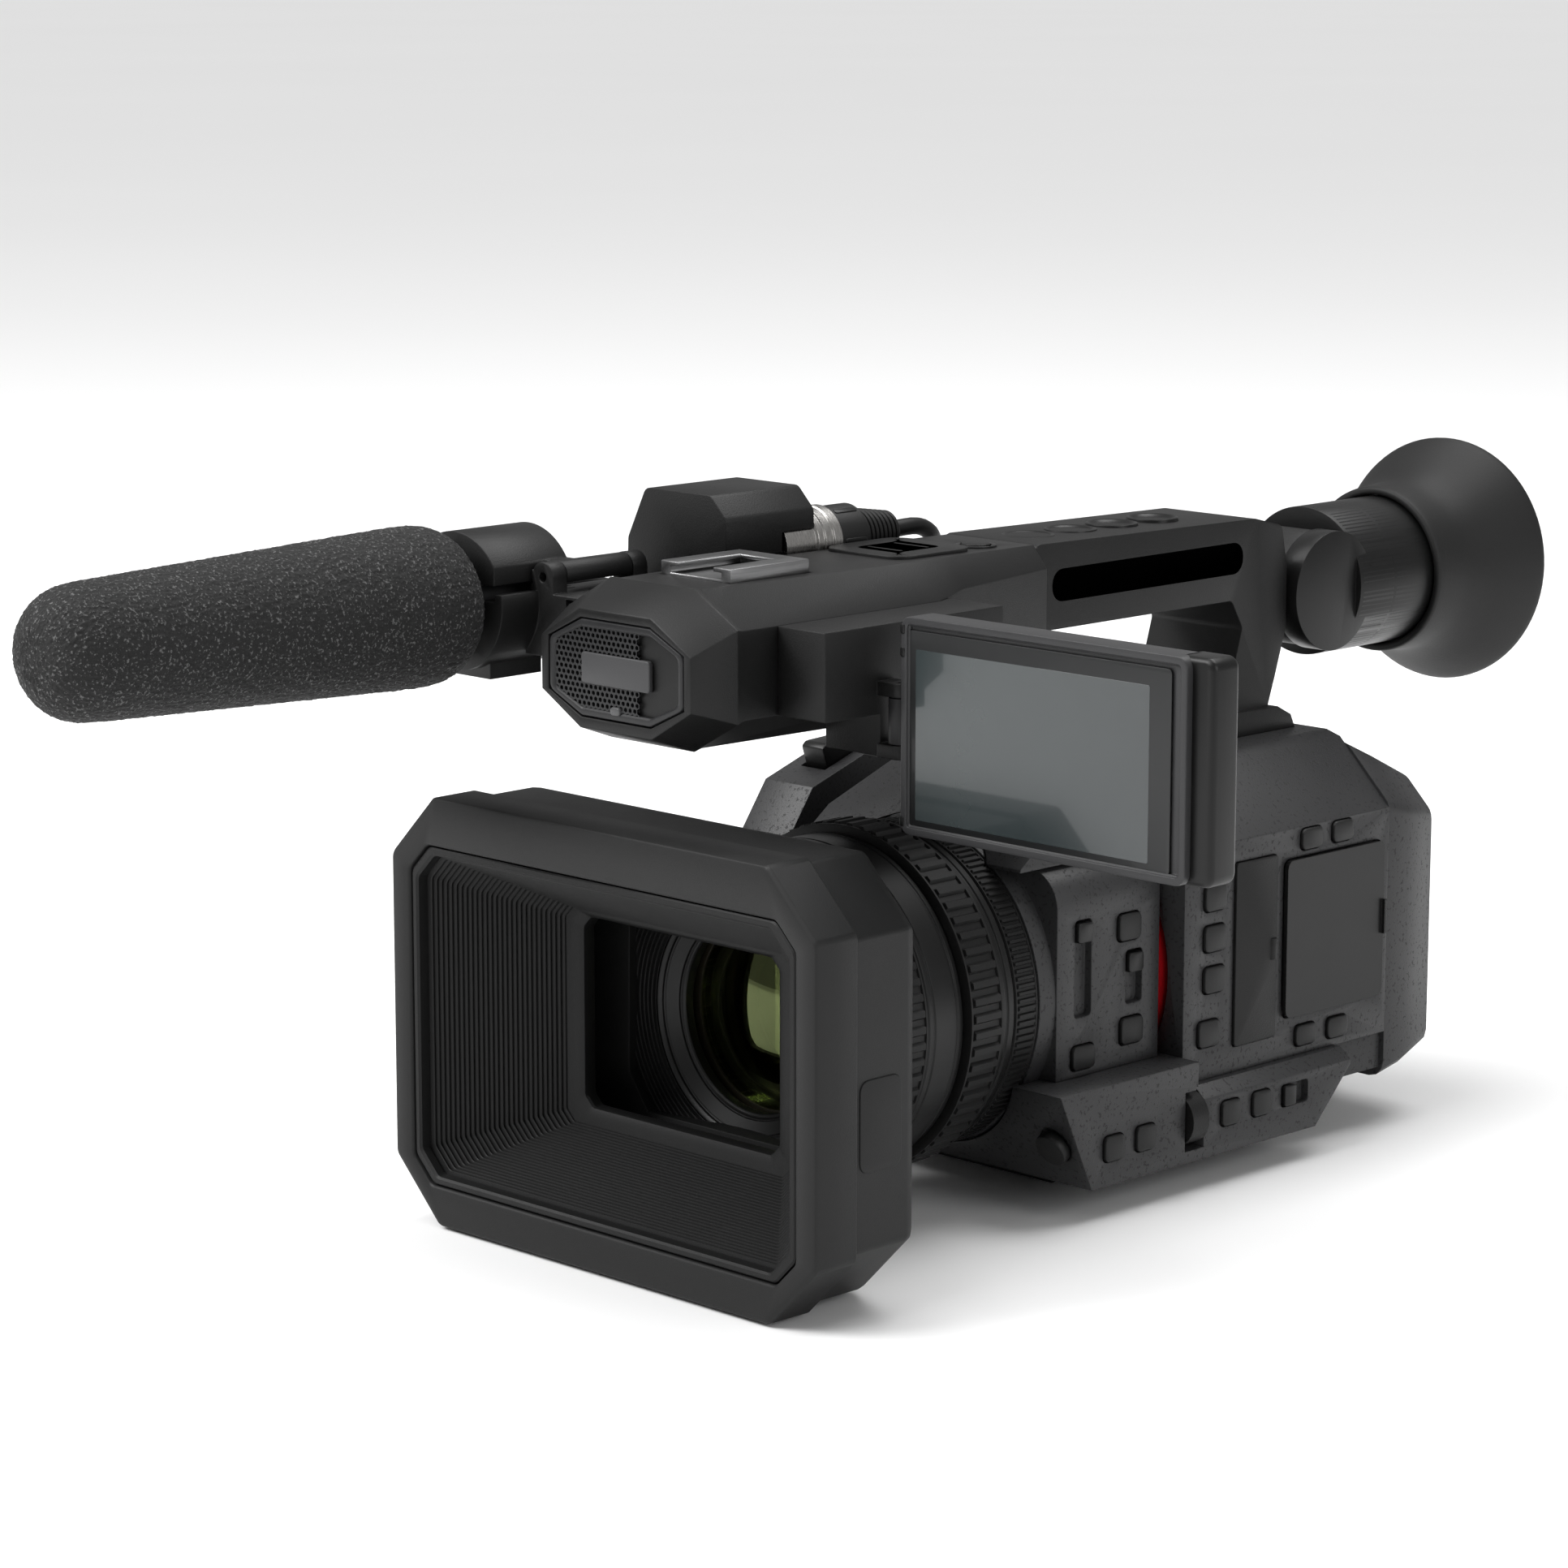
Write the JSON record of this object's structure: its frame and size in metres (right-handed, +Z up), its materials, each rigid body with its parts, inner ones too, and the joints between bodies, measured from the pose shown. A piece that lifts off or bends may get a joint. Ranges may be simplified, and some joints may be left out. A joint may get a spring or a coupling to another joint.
{
  "type": "camcorder",
  "caption": "Hand-held video camera with a hooded zoom lens, top handle, shotgun microphone, fold-out screen and tilting eyepiece.",
  "frame": {"origin": "mouth of the quarter-inch tripod thread, in the flat underside of the base", "axes": "+Z up, the lens looks along -Y, +X towards the operator's left side with the controls and screen"},
  "size_m": [0.2565, 0.4867, 0.196],
  "materials": {
    "black_plastic": "fine textured black moulding",
    "board": "green circuit board",
    "body_paint": "charcoal paint with dark flecks",
    "cable_jacket": "black cable jacket",
    "clear_cover": "smoked clear plastic",
    "cup_rubber": "matte rubber",
    "dark_metal": "dark plated metal",
    "foam": "open-cell black foam",
    "hood_plastic": "satin black moulding",
    "lens_glass": "coated glass",
    "plug_nickel": "satin nickel and black boot",
    "red_ring": "deep glossy red",
    "ring_rubber": "ribbed black rubber",
    "screen_glass": "dark glossy panel",
    "shoe_steel": "brushed plate",
    "strap_web": "black webbing and pad",
    "trap_plastic": "dull black ribbed moulding"
  },
  "bodies": {
    "camera": {"left_shell": "body_paint", "right_shell": "body_paint", "lens_housing": "body_paint", "control_pod": "body_paint", "base_plate": "dark_metal", "accent_ring": "red_ring", "lens_barrel": "black_plastic", "name_ring": "black_plastic", "lens_elements": "lens_glass", "hood_shell": "hood_plastic", "hood_liner": "trap_plastic", "hood_screws": "dark_metal", "handle_pod": "black_plastic", "handle_bar": "black_plastic", "mic_grille": "dark_metal", "side_box": "black_plastic", "cold_shoe": "shoe_steel", "xlr_box": "black_plastic", "circuit_boards": "board", "hand_strap": "strap_web", "mic_holder": "black_plastic", "microphone": "dark_metal", "windscreen": "foam", "xlr_plug": "plug_nickel", "mic_cable": "cable_jacket"},
    "battery": {"battery": "black_plastic"},
    "screen_arm": {"screen_hinge": "dark_metal"},
    "screen": {"screen_shell": "black_plastic", "screen_glass": "screen_glass"},
    "eyepiece": {"eye_housing": "black_plastic", "eye_lens": "lens_glass", "eyecup": "cup_rubber"},
    "focus_ring": {"focus_ring": "ring_rubber"},
    "iris_ring": {"iris_ring": "ring_rubber"},
    "zoom_ring": {"zoom_ring": "ring_rubber"},
    "card_door": {"card_door": "black_plastic"},
    "audio_door": {"audio_door": "clear_cover"},
    "audio_dial_1": {"audio_dial_1": "black_plastic"},
    "audio_dial_2": {"audio_dial_2": "black_plastic"},
    "select_wheel": {"select_wheel": "black_plastic"},
    "nd_switch": {"nd_switch": "black_plastic"},
    "focus_switch": {"focus_switch": "black_plastic"},
    "auto_switch": {"auto_switch": "black_plastic"},
    "grip_rocker": {"grip_rocker": "black_plastic"},
    "handle_rocker": {"handle_rocker": "black_plastic"},
    "record_button": {"record_button": "black_plastic"},
    "white_button": {"white_button": "black_plastic"},
    "user_button_1": {"user_button_1": "black_plastic"},
    "user_button_2": {"user_button_2": "black_plastic"},
    "user_button_3": {"user_button_3": "black_plastic"},
    "focus_assist_button": {"focus_assist_button": "black_plastic"},
    "push_auto_button": {"push_auto_button": "black_plastic"},
    "iris_button": {"iris_button": "black_plastic"},
    "keys_4_5": {"keys_4_5": "black_plastic"},
    "keys_6_7": {"keys_6_7": "black_plastic"},
    "gain_shutter_keys": {"gain_shutter_keys": "black_plastic"},
    "exit_menu_keys": {"exit_menu_keys": "black_plastic"},
    "user_button_9": {"user_button_9": "black_plastic"},
    "mic_lid": {"mic_lid": "black_plastic"},
    "mic_knob": {"mic_knob": "black_plastic"}
  },
  "joints": [
    {"name": "screen_open", "type": "hinge", "parent": "camera", "child": "screen_arm", "pos_m": [0.053, -0.11, 0.1457], "axis": [0, 0, 1], "range_deg": [0, 90]},
    {"name": "screen_tilt", "type": "hinge", "parent": "screen_arm", "child": "screen", "pos_m": [0.057, -0.11, 0.1457], "axis": [1, 0, 0], "range_deg": [-180, 0]},
    {"name": "eye_tilt", "type": "hinge", "parent": "camera", "child": "eyepiece", "pos_m": [0, 0.107, 0.153], "axis": [1, 0, 0], "range_deg": [0, 60]},
    {"name": "focus_ring_turn", "type": "hinge", "parent": "camera", "child": "focus_ring", "pos_m": [0, -0.1, 0.059], "axis": [0, 1, 0], "continuous": true},
    {"name": "iris_ring_turn", "type": "hinge", "parent": "camera", "child": "iris_ring", "pos_m": [0, -0.053, 0.059], "axis": [0, 1, 0], "continuous": true},
    {"name": "zoom_ring_turn", "type": "hinge", "parent": "camera", "child": "zoom_ring", "pos_m": [0, -0.071, 0.059], "axis": [0, 1, 0], "range_deg": [-45, 45]},
    {"name": "card_door_open", "type": "hinge", "parent": "camera", "child": "card_door", "pos_m": [0.0524, 0.0256, 0.062], "axis": [0, 0, -1], "range_deg": [0, 100]},
    {"name": "audio_door_open", "type": "hinge", "parent": "camera", "child": "audio_door", "pos_m": [0.0528, 0.0473, 0.062], "axis": [0, 0, -1], "range_deg": [0, 110]},
    {"name": "audio_dial_1_turn", "type": "hinge", "parent": "camera", "child": "audio_dial_1", "pos_m": [0.0505, 0.0846, 0.0757], "axis": [1, 0, 0], "range_deg": [-140, 140]},
    {"name": "audio_dial_2_turn", "type": "hinge", "parent": "camera", "child": "audio_dial_2", "pos_m": [0.0505, 0.0846, 0.0536], "axis": [1, 0, 0], "range_deg": [-140, 140]},
    {"name": "select_wheel_turn", "type": "hinge", "parent": "camera", "child": "select_wheel", "pos_m": [0.053, 0.0025, 0.0207], "axis": [0, 1, 0], "continuous": true},
    {"name": "nd_switch_slide", "type": "slide", "parent": "camera", "child": "nd_switch", "axis": [0, 0, 1], "range_m": [-0.0135, 0]},
    {"name": "focus_switch_slide", "type": "slide", "parent": "camera", "child": "focus_switch", "axis": [0, 0, 1], "range_m": [-0.008, 0]},
    {"name": "auto_switch_slide", "type": "slide", "parent": "camera", "child": "auto_switch", "axis": [0, 1, 0], "range_m": [0, 0.0056]},
    {"name": "grip_rocker_tip", "type": "hinge", "parent": "camera", "child": "grip_rocker", "pos_m": [-0.0625, -0.014, 0.1106], "axis": [1, 0, 0], "range_deg": [-6, 6], "stiffness_Nm_per_rad": 0.3},
    {"name": "handle_rocker_tip", "type": "hinge", "parent": "camera", "child": "handle_rocker", "pos_m": [0, -0.056, 0.176], "axis": [1, 0, 0], "range_deg": [-5, 5], "stiffness_Nm_per_rad": 0.2},
    {"name": "record_button_press", "type": "slide", "parent": "camera", "child": "record_button", "axis": [0, 0, -1], "range_m": [0, 0.001], "stiffness_N_per_m": 300},
    {"name": "white_button_press", "type": "slide", "parent": "camera", "child": "white_button", "axis": [-1, 0, 0], "range_m": [0, 0.001], "stiffness_N_per_m": 300},
    {"name": "user_button_1_press", "type": "slide", "parent": "camera", "child": "user_button_1", "axis": [-1, 0, 0], "range_m": [0, 0.001], "stiffness_N_per_m": 300},
    {"name": "user_button_2_press", "type": "slide", "parent": "camera", "child": "user_button_2", "axis": [-1, 0, 0], "range_m": [0, 0.001], "stiffness_N_per_m": 300},
    {"name": "user_button_3_press", "type": "slide", "parent": "camera", "child": "user_button_3", "axis": [-1, 0, 0], "range_m": [0, 0.001], "stiffness_N_per_m": 300},
    {"name": "focus_assist_button_press", "type": "slide", "parent": "camera", "child": "focus_assist_button", "axis": [-1, 0, 0], "range_m": [0, 0.001], "stiffness_N_per_m": 300},
    {"name": "push_auto_button_press", "type": "slide", "parent": "camera", "child": "push_auto_button", "axis": [-1, 0, 0], "range_m": [0, 0.001], "stiffness_N_per_m": 300},
    {"name": "iris_button_press", "type": "slide", "parent": "camera", "child": "iris_button", "axis": [-1, 0, 0], "range_m": [0, 0.001], "stiffness_N_per_m": 300},
    {"name": "keys_4_5_press", "type": "slide", "parent": "camera", "child": "keys_4_5", "axis": [-1, 0, 0], "range_m": [0, 0.001], "stiffness_N_per_m": 300},
    {"name": "keys_6_7_press", "type": "slide", "parent": "camera", "child": "keys_6_7", "axis": [-1, 0, 0], "range_m": [0, 0.001], "stiffness_N_per_m": 300},
    {"name": "gain_shutter_keys_press", "type": "slide", "parent": "camera", "child": "gain_shutter_keys", "axis": [-1, 0, 0], "range_m": [0, 0.001], "stiffness_N_per_m": 300},
    {"name": "exit_menu_keys_press", "type": "slide", "parent": "camera", "child": "exit_menu_keys", "axis": [-1, 0, 0], "range_m": [0, 0.001], "stiffness_N_per_m": 300},
    {"name": "user_button_9_press", "type": "slide", "parent": "camera", "child": "user_button_9", "axis": [0, 0.887, 0.4617], "range_m": [0, 0.001], "stiffness_N_per_m": 300},
    {"name": "mic_lid_open", "type": "hinge", "parent": "camera", "child": "mic_lid", "pos_m": [-0.045, -0.127, 0.176], "axis": [0, 1, 0], "range_deg": [0, 100]},
    {"name": "mic_knob_turn", "type": "hinge", "parent": "camera", "child": "mic_knob", "pos_m": [-0.084, -0.144, 0.161], "axis": [1, 0, 0], "continuous": true},
    {"name": "battery_slide", "type": "slide", "parent": "camera", "child": "battery", "axis": [0, 1, 0], "range_m": [0, 0.03]}
  ]
}
